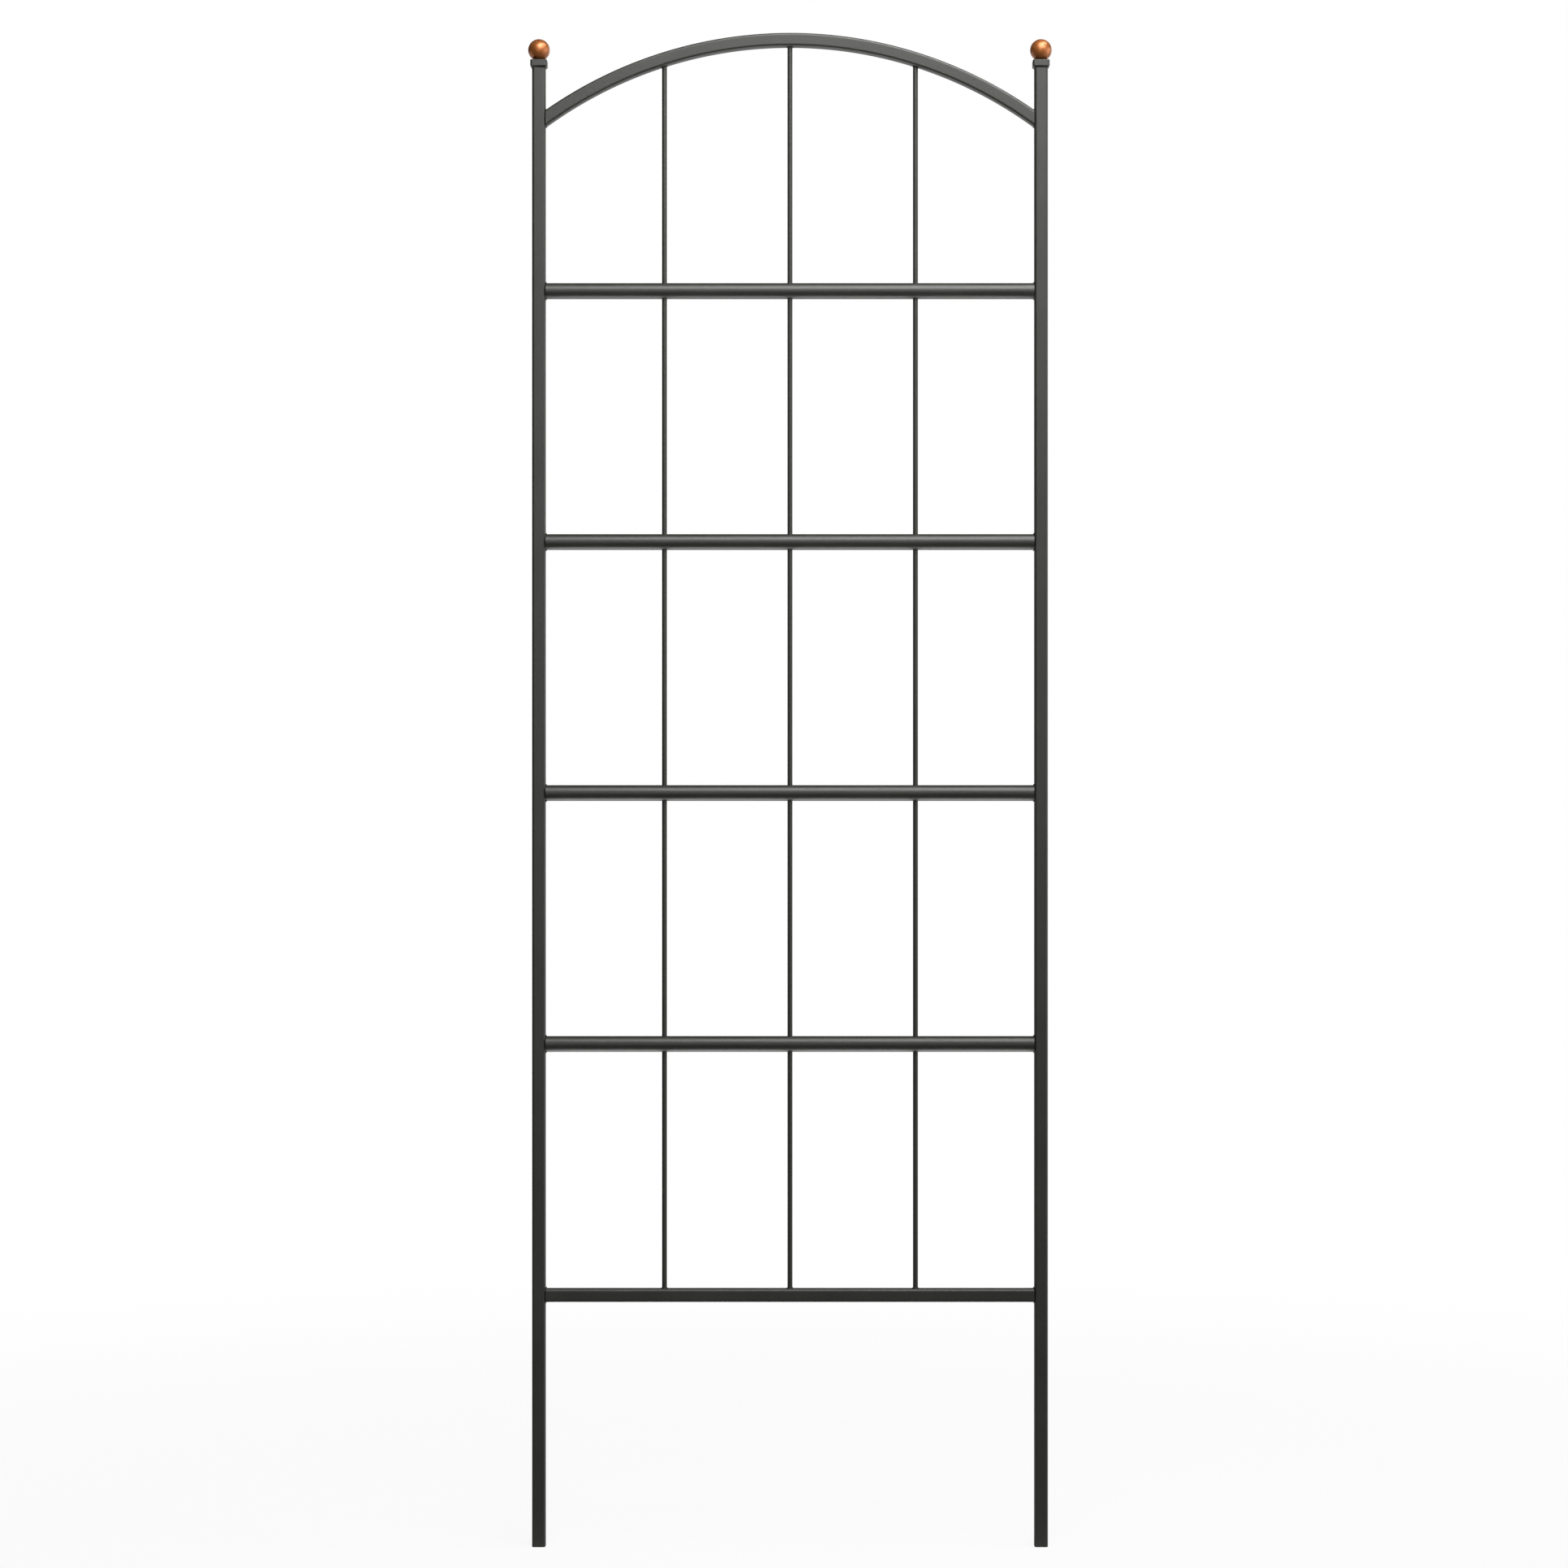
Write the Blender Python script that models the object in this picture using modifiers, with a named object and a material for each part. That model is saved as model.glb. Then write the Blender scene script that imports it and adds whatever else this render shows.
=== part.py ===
"""Garden trellis: a welded steel frame with an arched top and a copper ball on each post.

Units are metres and +Z is up. The trellis stands across X and its front faces -Y.
The origin lies on the ground line, midway between the feet of the two posts.
"""
import math

import bmesh
import bpy
from mathutils import Matrix, Vector

NAME = "garden_trellis"

# Layout of the frame
POST_SPACING = 0.600        # between the centre lines of the posts
LEG_LENGTH = 0.300          # post foot to the bottom rail's centre line
RAIL_PITCH = 0.300          # between the centre lines of neighbouring rails
TOP_BAY = 0.2157            # top cross tube's centre line to the arch's shoulders on the posts
ARCH_RISE = 0.0920          # arch's shoulders to its crown, along the upper face
POST_HEAD = 0.0504          # post above the arch's shoulder
CROSS_TUBE_COUNT = 4
ROD_COUNT = 3

# Square tube of the posts, the bottom rail and the arch
TUBE_SIDE = 0.016
TUBE_WALL = 0.0012
TUBE_CORNER = 0.0032

# Round cross tubes and upright rods
CROSS_TUBE_RADIUS = 0.0095
CROSS_TUBE_WALL = 0.0010
ROD_RADIUS = 0.003

# Square post cap on a plug
CAP_OVERHANG = 0.0020       # past the flats of the post
CAP_HEIGHT = 0.0091
CAP_CORNER = 0.0024         # rounding of the cap's upright edges
CAP_EDGE = 0.0006           # rounding of the cap's upper rim
CAP_CHAMFER = 0.0018        # slope under the cap's overhang
PLUG_LENGTH = 0.014

# Finial ball and its stud
BALL_RADIUS = 0.013
BALL_SEAT = 0.0008          # how deep the ball sits in the cap
STUD_RADIUS = 0.0025
STUD_IN_BALL = 0.010
STUD_IN_CAP = 0.018
STUD_CHAMFER = 0.0005
DRILL_END = 0.001           # drilling past the stud's end

# Welds
BEAD_LEG = 0.0010           # fillet beads of the tubes
ROD_BEAD_LEG = 0.0008       # fillet rings of the rods

# Clearances
GAP = 0.0003                # between touching pieces
CUT_MARGIN = 0.005          # how far a cutter stands past what it cuts

# Fineness of round forms
CORNER_STEPS = 3
CAP_EDGE_STEPS = 2
TUBE_SIDES = 32
ROD_SIDES = 16
ARCH_STEPS = 40
BALL_SIDES = 32
BEAD_STEPS = 6
SMOOTH_ANGLE = math.radians(35)

# Sizes that follow from the ones above
HALF_SPACING = POST_SPACING / 2
HALF_TUBE = TUBE_SIDE / 2
HALF_CLEAR_SPAN = HALF_SPACING - HALF_TUBE
BETWEEN_POSTS = 2 * (HALF_CLEAR_SPAN - GAP)
ROD_PITCH = POST_SPACING / (ROD_COUNT + 1)
TOP_RAIL_Z = LEG_LENGTH + CROSS_TUBE_COUNT * RAIL_PITCH
SHOULDER_Z = TOP_RAIL_Z + TOP_BAY
POST_LENGTH = SHOULDER_Z + POST_HEAD
ARCH_RADIUS = (HALF_CLEAR_SPAN ** 2 + ARCH_RISE ** 2) / (2 * ARCH_RISE)
ARCH_INNER_RADIUS = ARCH_RADIUS - TUBE_SIDE
ARCH_CENTRE_Z = SHOULDER_Z + ARCH_RISE - ARCH_RADIUS
CAP_SIDE = TUBE_SIDE + 2 * CAP_OVERHANG
CAP_Z = POST_LENGTH + GAP
BALL_Z = CAP_Z + CAP_HEIGHT - BALL_SEAT + GAP + BALL_RADIUS
STUD_TOP_Z = BALL_Z - BALL_RADIUS + STUD_IN_BALL
STUD_FOOT_Z = BALL_Z - BALL_RADIUS - STUD_IN_CAP

# Colour (linear), metallic and roughness of each finish
PAINT = ("anthracite_paint", (0.060, 0.060, 0.056), 0.25, 0.42)
COPPER = ("copper_plate", (0.62, 0.25, 0.10), 1.0, 0.22)
ZINC = ("zinc_plate", (0.58, 0.58, 0.56), 1.0, 0.35)


def clear_scene():
    """Remove every object of the open file."""
    for ob in list(bpy.data.objects):
        bpy.data.objects.remove(ob, do_unlink=True)


def new_collection(name):
    """A collection linked to the scene."""
    collection = bpy.data.collections.new(name)
    bpy.context.scene.collection.children.link(collection)
    return collection


def finish_material(name, finish):
    """A Principled material of its own for one piece."""
    title, colour, metallic, roughness = finish
    material = bpy.data.materials.new(f"{name}_{title}")
    material.use_nodes = True
    shader = material.node_tree.nodes["Principled BSDF"]
    shader.inputs["Base Color"].default_value = (*colour, 1.0)
    shader.inputs["Metallic"].default_value = metallic
    shader.inputs["Roughness"].default_value = roughness
    material.diffuse_color = (*colour, 1.0)
    return material


def mesh_from(bm, name):
    """Turn a bmesh into a smooth-shaded mesh with sharp edges kept."""
    mesh = bpy.data.meshes.new(name)
    bm.to_mesh(mesh)
    bm.free()
    mesh.shade_smooth()
    mesh.set_sharp_from_angle(angle=SMOOTH_ANGLE)
    return mesh


def add_piece(name, mesh, finish, location=(0.0, 0.0, 0.0), rotation=(0.0, 0.0, 0.0)):
    """A visible piece in the part's collection, parented to the part's empty."""
    piece = bpy.data.objects.new(name, mesh)
    piece.location = location
    piece.rotation_euler = rotation
    piece.parent = ROOT
    mesh.materials.append(finish_material(name, finish))
    PIECES.objects.link(piece)
    return piece


def add_cutter(name, bm, location=(0.0, 0.0, 0.0)):
    """A hidden cutter in the cutters' collection."""
    cutter = bpy.data.objects.new(name, mesh_from(bm, name))
    cutter.location = location
    cutter.hide_render = True
    cutter.display_type = "WIRE"
    cutter.parent = ROOT
    CUTTERS.objects.link(cutter)
    return cutter


def cut(piece, cutter, operation="DIFFERENCE"):
    """Join a Boolean to a piece's modifiers."""
    boolean = piece.modifiers.new(f"{operation.lower()}_{cutter.name}", "BOOLEAN")
    boolean.operation = operation
    boolean.solver = "EXACT"
    boolean.object = cutter


def thicken(piece, wall):
    """Give an open surface its wall, on the inner side."""
    solidify = piece.modifiers.new("wall", "SOLIDIFY")
    solidify.thickness = wall
    solidify.offset = -1.0
    solidify.use_even_offset = True
    solidify.use_rim = True


def box(size_x, size_y, size_z):
    """A plain box around the origin."""
    bm = bmesh.new()
    bmesh.ops.create_cube(bm, size=1.0)
    bmesh.ops.scale(bm, vec=(size_x, size_y, size_z), verts=bm.verts)
    return bm


def rounded_bar(side, length, corner):
    """A square bar along Z with its four long edges rounded."""
    bm = box(side, side, length)
    long_edges = [e for e in bm.edges if abs(e.verts[0].co.z - e.verts[1].co.z) > length / 2]
    bmesh.ops.bevel(
        bm, geom=long_edges, offset=corner, segments=CORNER_STEPS, profile=0.5, affect="EDGES"
    )
    return bm


def cylinder(radius, length, sides, capped=True):
    """A cylinder along Z around the origin."""
    bm = bmesh.new()
    bmesh.ops.create_cone(
        bm, cap_ends=capped, segments=sides, radius1=radius, radius2=radius, depth=length
    )
    return bm


def square_tube(name, length, location, rotation=(0.0, 0.0, 0.0)):
    """A straight length of square tube, open at both ends."""
    bm = rounded_bar(TUBE_SIDE, length, TUBE_CORNER)
    ends = [f for f in bm.faces if abs(f.normal.z) > 0.5]
    bmesh.ops.delete(bm, geom=ends, context="FACES_ONLY")
    tube = add_piece(name, mesh_from(bm, name), PAINT, location, rotation)
    thicken(tube, TUBE_WALL)
    return tube


def build_posts():
    """Two posts, from the ground line to under the caps."""
    for side, label in ((-1, "left"), (1, "right")):
        square_tube(f"{label}_post", POST_LENGTH, (side * HALF_SPACING, 0.0, POST_LENGTH / 2))


def build_bottom_rail():
    """The square rail that carries the rods' feet."""
    turn = (0.0, math.pi / 2, 0.0)
    square_tube("bottom_rail", BETWEEN_POSTS, (0.0, 0.0, LEG_LENGTH), turn)


def build_rod_drills():
    """One long drill for each rod, through all cross tubes."""
    length = CROSS_TUBE_COUNT * RAIL_PITCH + 2 * CUT_MARGIN
    middle = (LEG_LENGTH + TOP_RAIL_Z + RAIL_PITCH) / 2
    drills = []
    for number, x in enumerate(rod_places(), start=1):
        bm = cylinder(ROD_RADIUS + GAP, length, ROD_SIDES)
        drills.append(add_cutter(f"rod_drill_{number}", bm, (x, 0.0, middle)))
    return drills


def build_cross_tubes(drills):
    """Round tubes between the posts, numbered from the bottom, drilled for the rods."""
    for number in range(1, CROSS_TUBE_COUNT + 1):
        name = f"cross_tube_{number}"
        bm = cylinder(CROSS_TUBE_RADIUS, BETWEEN_POSTS, TUBE_SIDES, capped=False)
        place = (0.0, 0.0, LEG_LENGTH + number * RAIL_PITCH)
        tube = add_piece(name, mesh_from(bm, name), PAINT, place, (0.0, math.pi / 2, 0.0))
        thicken(tube, CROSS_TUBE_WALL)
        for drill in drills:
            cut(tube, drill)


def build_arch():
    """Square tube bent to an arc and cut upright against the posts."""
    bm = rounded_bar(TUBE_SIDE, TUBE_SIDE, TUBE_CORNER)
    lower_end = [v for v in bm.verts if v.co.z < 0]
    bmesh.ops.delete(bm, geom=lower_end, context="VERTS")
    bmesh.ops.delete(bm, geom=bm.faces[:], context="FACES_ONLY")
    half_sweep = math.asin((HALF_CLEAR_SPAN + HALF_TUBE) / ARCH_INNER_RADIUS)
    centred = Matrix.Translation((0.0, 0.0, -HALF_TUBE))
    upright = Matrix.Rotation(math.pi / 2, 4, "Y")
    lifted = Matrix.Translation((0.0, 0.0, ARCH_RADIUS - HALF_TUBE))
    swung = Matrix.Rotation(-half_sweep, 4, "Y")
    bmesh.ops.transform(bm, matrix=swung @ lifted @ upright @ centred, verts=bm.verts)
    arch = add_piece("top_arch", mesh_from(bm, "top_arch"), PAINT, (0.0, 0.0, ARCH_CENTRE_Z))
    bend = arch.modifiers.new("bend", "SCREW")
    bend.axis = "Y"
    bend.angle = 2 * half_sweep
    bend.steps = ARCH_STEPS
    bend.render_steps = ARCH_STEPS
    bend.use_normal_calculate = True
    thicken(arch, TUBE_WALL)
    depth = TUBE_SIDE + 2 * CUT_MARGIN
    height = ARCH_RADIUS
    width = 2 * HALF_TUBE + HALF_SPACING
    for side, label in ((-1, "left"), (1, "right")):
        x = side * (HALF_CLEAR_SPAN - GAP + width / 2)
        cutter = add_cutter(f"{label}_arch_trim", box(width, depth, height), (x, 0.0, SHOULDER_Z))
        cut(arch, cutter)


def arch_underside(x):
    """Height of the arch's lower face at x."""
    return ARCH_CENTRE_Z + math.sqrt(ARCH_INNER_RADIUS ** 2 - x ** 2)


def rod_places():
    """The rods' places across the trellis, left to right."""
    first = -(ROD_COUNT - 1) / 2 * ROD_PITCH
    return [first + number * ROD_PITCH for number in range(ROD_COUNT)]


def rod_names():
    """Names for the rods, left to right."""
    if ROD_COUNT == 3:
        return ["left_rod", "centre_rod", "right_rod"]
    return [f"rod_{number}" for number in range(1, ROD_COUNT + 1)]


def build_rods():
    """Upright rods, whose tops are cut to the arch's underside, with a weld ring at each end."""
    foot = LEG_LENGTH + HALF_TUBE + GAP
    for name, x in zip(rod_names(), rod_places()):
        top = arch_underside(x) - GAP
        length = top - foot
        middle = (top + foot) / 2
        bm = cylinder(ROD_RADIUS, length, ROD_SIDES)
        for vert in bm.verts:
            if vert.co.z > 0:
                vert.co.z = arch_underside(x + vert.co.x) - GAP - middle
        add_piece(name, mesh_from(bm, name), PAINT, (x, 0.0, middle))
        build_rod_ring(f"{name}_top_weld", x, top, -1)
        build_rod_ring(f"{name}_foot_weld", x, foot, 1)


def build_rod_ring(name, x, z, way):
    """A fillet ring round a rod's end: way is 1 above its seat and -1 below it."""
    inner = ROD_RADIUS + GAP
    corners = [(inner, 0.0), (inner + ROD_BEAD_LEG, 0.0), (inner, way * ROD_BEAD_LEG)]
    bm = bmesh.new()
    verts = [bm.verts.new((r, 0.0, h)) for r, h in corners]
    edges = [bm.edges.new((verts[i - 1], verts[i])) for i in range(len(verts))]
    bmesh.ops.spin(
        bm, geom=verts + edges, cent=(0, 0, 0), axis=(0, 0, 1), dvec=(0, 0, 0), angle=math.tau,
        steps=ROD_SIDES, use_merge=True,
    )
    if way < 0:
        for vert in bm.verts:
            vert.co.z += arch_underside(x + vert.co.x) - arch_underside(x)
    bmesh.ops.recalc_face_normals(bm, faces=bm.faces)
    add_piece(name, mesh_from(bm, name), PAINT, (x, 0.0, z))


def build_cross_tube_welds():
    """An upper and a lower bead where each cross tube meets a post's flat."""
    reach = CROSS_TUBE_RADIUS + GAP
    flat = HALF_TUBE - TUBE_CORNER
    half_angle = math.atan2(flat, reach + BEAD_LEG)
    for number in range(1, CROSS_TUBE_COUNT + 1):
        z = LEG_LENGTH + number * RAIL_PITCH
        for side, side_label in ((-1, "left"), (1, "right")):
            for way, way_label in ((1, "upper"), (-1, "lower")):
                bm = bmesh.new()
                corners = [(0.0, reach), (0.0, reach + BEAD_LEG), (-side * BEAD_LEG, reach)]
                verts = [bm.verts.new((along, 0.0, way * r)) for along, r in corners]
                face = bm.faces.new(verts)
                start = Matrix.Rotation(-half_angle, 4, "X")
                bmesh.ops.transform(bm, matrix=start, verts=verts)
                bmesh.ops.spin(
                    bm, geom=verts + list(face.edges) + [face], cent=(0, 0, 0), axis=(1, 0, 0),
                    dvec=(0, 0, 0), angle=2 * half_angle, steps=BEAD_STEPS,
                )
                bmesh.ops.recalc_face_normals(bm, faces=bm.faces)
                name = f"cross_tube_{number}_{side_label}_{way_label}_weld"
                x = side * (HALF_CLEAR_SPAN - GAP)
                add_piece(name, mesh_from(bm, name), PAINT, (x, 0.0, z))


def build_corner_bead(name, side, corner, post_way, tube_direction):
    """A straight fillet bead across the tubes' flats, from one named corner of the joint."""
    post_leg = Vector((0.0, 0.0, post_way * BEAD_LEG))
    tube_leg = Vector((-side * tube_direction.x, 0.0, tube_direction.z)) * BEAD_LEG
    width = TUBE_SIDE - 2 * TUBE_CORNER
    bm = bmesh.new()
    verts = [bm.verts.new(leg) for leg in (Vector(), post_leg, tube_leg)]
    bmesh.ops.translate(bm, vec=(0.0, -width / 2, 0.0), verts=verts)
    face = bm.faces.new(verts)
    grown = bmesh.ops.extrude_face_region(bm, geom=[face])["geom"]
    moved = [item for item in grown if isinstance(item, bmesh.types.BMVert)]
    bmesh.ops.translate(bm, vec=(0.0, width, 0.0), verts=moved)
    bmesh.ops.recalc_face_normals(bm, faces=bm.faces)
    add_piece(name, mesh_from(bm, name), PAINT, corner)


def build_bottom_rail_welds():
    """Beads above and below the bottom rail's ends."""
    level = Vector((1.0, 0.0, 0.0))
    for side, side_label in ((-1, "left"), (1, "right")):
        for way, way_label in ((1, "upper"), (-1, "lower")):
            corner = (side * (HALF_CLEAR_SPAN - GAP), 0.0, LEG_LENGTH + way * (HALF_TUBE + GAP))
            name = f"bottom_rail_{side_label}_{way_label}_weld"
            build_corner_bead(name, side, corner, way, level)


def build_arch_welds():
    """Beads above and below the arch's ends, along its slope there."""
    face = HALF_CLEAR_SPAN - GAP
    for way, way_label, radius in (
        (1, "upper", ARCH_RADIUS + GAP),
        (-1, "lower", ARCH_INNER_RADIUS - GAP),
    ):
        height = math.sqrt(radius ** 2 - face ** 2)
        slope = Vector((height, 0.0, face)) / radius
        for side, side_label in ((-1, "left"), (1, "right")):
            corner = (side * face, 0.0, ARCH_CENTRE_Z + height)
            name = f"arch_{side_label}_{way_label}_weld"
            build_corner_bead(name, side, corner, way, slope)


def ball_mesh(radius):
    """A sphere around the origin."""
    bm = bmesh.new()
    bmesh.ops.create_uvsphere(bm, u_segments=BALL_SIDES, v_segments=BALL_SIDES // 2, radius=radius)
    return bm


def rim_edges(bm, height, tolerance):
    """The edges of a mesh that lie level at one height."""
    return [e for e in bm.edges if all(abs(v.co.z - height) < tolerance for v in e.verts)]


def build_cap(name, x, drill):
    """Square cap with its plug inside the post, dished for the ball and drilled for the stud."""
    bm = rounded_bar(CAP_SIDE, CAP_HEIGHT, CAP_CORNER)
    foot = rim_edges(bm, -CAP_HEIGHT / 2, CAP_EDGE / 2)
    bmesh.ops.bevel(bm, geom=foot, offset=CAP_CHAMFER, segments=1, profile=0.5, affect="EDGES")
    rim = rim_edges(bm, CAP_HEIGHT / 2, CAP_EDGE / 2)
    bmesh.ops.bevel(bm, geom=rim, offset=CAP_EDGE, segments=CAP_EDGE_STEPS, profile=0.5, affect="EDGES")
    cap = add_piece(name, mesh_from(bm, name), PAINT, (x, 0.0, CAP_Z + CAP_HEIGHT / 2))

    inside = CAP_HEIGHT / 2
    plug_side = TUBE_SIDE - 2 * (TUBE_WALL + GAP)
    plug_corner = max(TUBE_CORNER - TUBE_WALL, GAP)
    plug_bm = rounded_bar(plug_side, PLUG_LENGTH + inside, plug_corner)
    plug_z = CAP_Z + (inside - PLUG_LENGTH) / 2
    cut(cap, add_cutter(f"{name}_plug", plug_bm, (x, 0.0, plug_z)), "UNION")
    cut(cap, add_cutter(f"{name}_dish", ball_mesh(BALL_RADIUS + GAP), (x, 0.0, BALL_Z)))
    cut(cap, drill)


def build_ball(name, x, drill):
    """Solid ball with a blind hole for the stud."""
    ball = add_piece(name, mesh_from(ball_mesh(BALL_RADIUS), name), COPPER, (x, 0.0, BALL_Z))
    cut(ball, drill)


def build_stud(name, x):
    """Stud between cap and ball, chamfered at both ends."""
    length = STUD_TOP_Z - STUD_FOOT_Z
    bm = cylinder(STUD_RADIUS, length, ROD_SIDES)
    rims = [e for end in (-1, 1) for e in rim_edges(bm, end * length / 2, STUD_CHAMFER)]
    bmesh.ops.bevel(bm, geom=rims, offset=STUD_CHAMFER, segments=1, affect="EDGES")
    middle = (STUD_TOP_Z + STUD_FOOT_Z) / 2
    add_piece(name, mesh_from(bm, name), ZINC, (x, 0.0, middle))


def build_finials():
    """Cap, ball and stud on each post."""
    drill_top = STUD_TOP_Z + DRILL_END
    drill_foot = CAP_Z - PLUG_LENGTH - CUT_MARGIN
    for side, label in ((-1, "left"), (1, "right")):
        x = side * HALF_SPACING
        drill_bm = cylinder(STUD_RADIUS + GAP, drill_top - drill_foot, ROD_SIDES)
        place = (x, 0.0, (drill_top + drill_foot) / 2)
        drill = add_cutter(f"{label}_stud_drill", drill_bm, place)
        build_cap(f"{label}_post_cap", x, drill)
        build_ball(f"{label}_finial_ball", x, drill)
        build_stud(f"{label}_finial_stud", x)


clear_scene()
PIECES = new_collection(NAME)
CUTTERS = new_collection(f"{NAME}_cutters")
ROOT = bpy.data.objects.new(f"{NAME}_origin", None)
PIECES.objects.link(ROOT)

build_posts()
build_bottom_rail()
build_cross_tubes(build_rod_drills())
build_arch()
build_rods()
build_cross_tube_welds()
build_bottom_rail_welds()
build_arch_welds()
build_finials()
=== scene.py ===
"""Garden trellis: the looks of the welded steel frame, its arch and its two copper balls.

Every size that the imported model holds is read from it. What it can't give, such as the
rounding of an edge or the ripple of a weld, is a field of the class that builds it.
Units are metres and radians, +Z is up and the trellis faces -Y.
"""
import logging
import math
from dataclasses import dataclass, field
from enum import Enum
from itertools import product
from typing import Any, Iterator, Mapping, Sequence, Union

import bmesh
import bpy
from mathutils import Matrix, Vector


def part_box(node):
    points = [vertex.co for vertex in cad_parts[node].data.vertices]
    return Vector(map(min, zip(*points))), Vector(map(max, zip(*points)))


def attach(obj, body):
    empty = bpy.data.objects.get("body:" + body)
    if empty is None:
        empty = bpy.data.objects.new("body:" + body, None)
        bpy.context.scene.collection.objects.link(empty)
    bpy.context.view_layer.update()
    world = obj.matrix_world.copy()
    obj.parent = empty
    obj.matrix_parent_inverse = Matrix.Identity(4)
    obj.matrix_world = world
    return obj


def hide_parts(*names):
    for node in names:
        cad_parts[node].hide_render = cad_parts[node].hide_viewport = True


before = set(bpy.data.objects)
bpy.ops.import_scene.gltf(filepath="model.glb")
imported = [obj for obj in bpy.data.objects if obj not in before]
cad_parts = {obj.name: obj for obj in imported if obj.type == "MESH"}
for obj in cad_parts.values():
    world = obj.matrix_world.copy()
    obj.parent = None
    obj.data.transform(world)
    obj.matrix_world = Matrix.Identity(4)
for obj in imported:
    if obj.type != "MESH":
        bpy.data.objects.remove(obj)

LOG = logging.getLogger("garden_trellis")
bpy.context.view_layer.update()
BODY = "root"
ORIGIN = (0.0, 0.0, 0.0)
QUARTER_TURN = (0.0, math.pi / 2, 0.0)
WHITE = (1.0, 1.0, 1.0, 1.0)
BMesh = bmesh.types.BMesh
Material = bpy.types.Material
Piece = bpy.types.Object
Colour = tuple[float, float, float]
Triple = tuple[float, float, float]
Span = tuple[float, float]
Operand = Union["Signal", float]


class Named(Enum):
    """A choice whose name is a word in the names of nodes."""

    @property
    def label(self) -> str:
        """The choice's word in a node's name."""
        return self.name.lower()


class Side(Named):
    """The two posts' sides, with the sign of their X."""

    LEFT = -1
    RIGHT = 1


class Level(Named):
    """Above or below a tube, with the sign of its Z."""

    UPPER = 1
    LOWER = -1


class Slot(Enum):
    """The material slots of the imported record."""

    PAINT = "anthracite_paint"
    COPPER = "copper_finish"
    ZINC = "zinc_plate"


class Signal:
    """A node's output that takes part in arithmetic; each operator adds a Math node."""

    def __init__(self, graph: "Graph", socket: bpy.types.NodeSocket | None) -> None:
        """Wrap an output socket of a graph's node."""
        self.graph = graph
        self.socket = socket

    def __getitem__(self, key: str | int) -> "Signal":
        """Another output of the same node."""
        return Signal(self.graph, self.socket.node.outputs[key])

    def _math(self, operation: str, first: Operand, second: Operand = 0.0) -> "Signal":
        """Add a Math node for one operation."""
        return self.graph.add("ShaderNodeMath", {0: first, 1: second}, operation=operation)

    def __add__(self, other: Operand) -> "Signal":
        """self + other."""
        return self._math("ADD", self, other)

    def __radd__(self, other: Operand) -> "Signal":
        """other + self."""
        return self._math("ADD", other, self)

    def __sub__(self, other: Operand) -> "Signal":
        """self - other."""
        return self._math("SUBTRACT", self, other)

    def __rsub__(self, other: Operand) -> "Signal":
        """other - self."""
        return self._math("SUBTRACT", other, self)

    def __mul__(self, other: Operand) -> "Signal":
        """self * other."""
        return self._math("MULTIPLY", self, other)

    def __rmul__(self, other: Operand) -> "Signal":
        """other * self."""
        return self._math("MULTIPLY", other, self)

    def __truediv__(self, other: Operand) -> "Signal":
        """self / other."""
        return self._math("DIVIDE", self, other)

    def __rtruediv__(self, other: Operand) -> "Signal":
        """other / self."""
        return self._math("DIVIDE", other, self)

    def above(self, other: Operand) -> "Signal":
        """1 where self is greater than other, else 0."""
        return self._math("GREATER_THAN", self, other)

    def largest(self, other: Operand) -> "Signal":
        """The larger of self and other."""
        return self._math("MAXIMUM", self, other)

    def root(self) -> "Signal":
        """Square root."""
        return self._math("SQRT", self)

    def sine(self) -> "Signal":
        """Sine of an angle."""
        return self._math("SINE", self)

    def centred(self) -> "Signal":
        """A signal of 0 to 1, moved to swing round 0."""
        return self - 0.5

    def ramp(self, low: float, high: float) -> "Signal":
        """A smooth step from 0 at low to 1 at high."""
        sockets = {0: self, 1: low, 2: high}
        return self.graph.add("ShaderNodeMapRange", sockets, interpolation_type="SMOOTHSTEP")


class Graph:
    """Adds nodes to one shader or geometry tree."""

    def __init__(self, tree: bpy.types.NodeTree) -> None:
        """Wrap an empty or cleared tree."""
        self.tree = tree

    def add(self, kind: str, sockets: Mapping[str | int, Any] | None = None, **settings: Any) -> Signal:
        """Add a node, set its settings and then fill its sockets.

        Args:
            kind: The node's type.
            sockets: Values or signals for the inputs, by name or number; a list joins signals.
            settings: Properties of the node.

        Returns:
            The node's first output, if it has any.
        """
        node = self.tree.nodes.new(kind)
        for name, value in settings.items():
            setattr(node, name, value)
        for key, value in (sockets or {}).items():
            for item in value if isinstance(value, list) else [value]:
                if isinstance(item, Signal):
                    self.tree.links.new(item.socket, node.inputs[key])
                else:
                    node.inputs[key].default_value = item
        return Signal(self, next(iter(node.outputs), None))

    def split(self, vector: Signal) -> tuple[Signal, Signal, Signal]:
        """The three parts of a vector."""
        parts = self.add("ShaderNodeSeparateXYZ", {0: vector})
        return parts[0], parts[1], parts[2]

    def blend(self, mask: Signal, first: Signal | Colour, second: Signal | Colour) -> Signal:
        """A mix of two colours, from the first at mask 0 to the second at mask 1."""
        ends = [end if isinstance(end, Signal) else (*end, 1.0) for end in (first, second)]
        return self.add("ShaderNodeMix", {0: mask, 6: ends[0], 7: ends[1]}, data_type="RGBA")[2]


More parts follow.
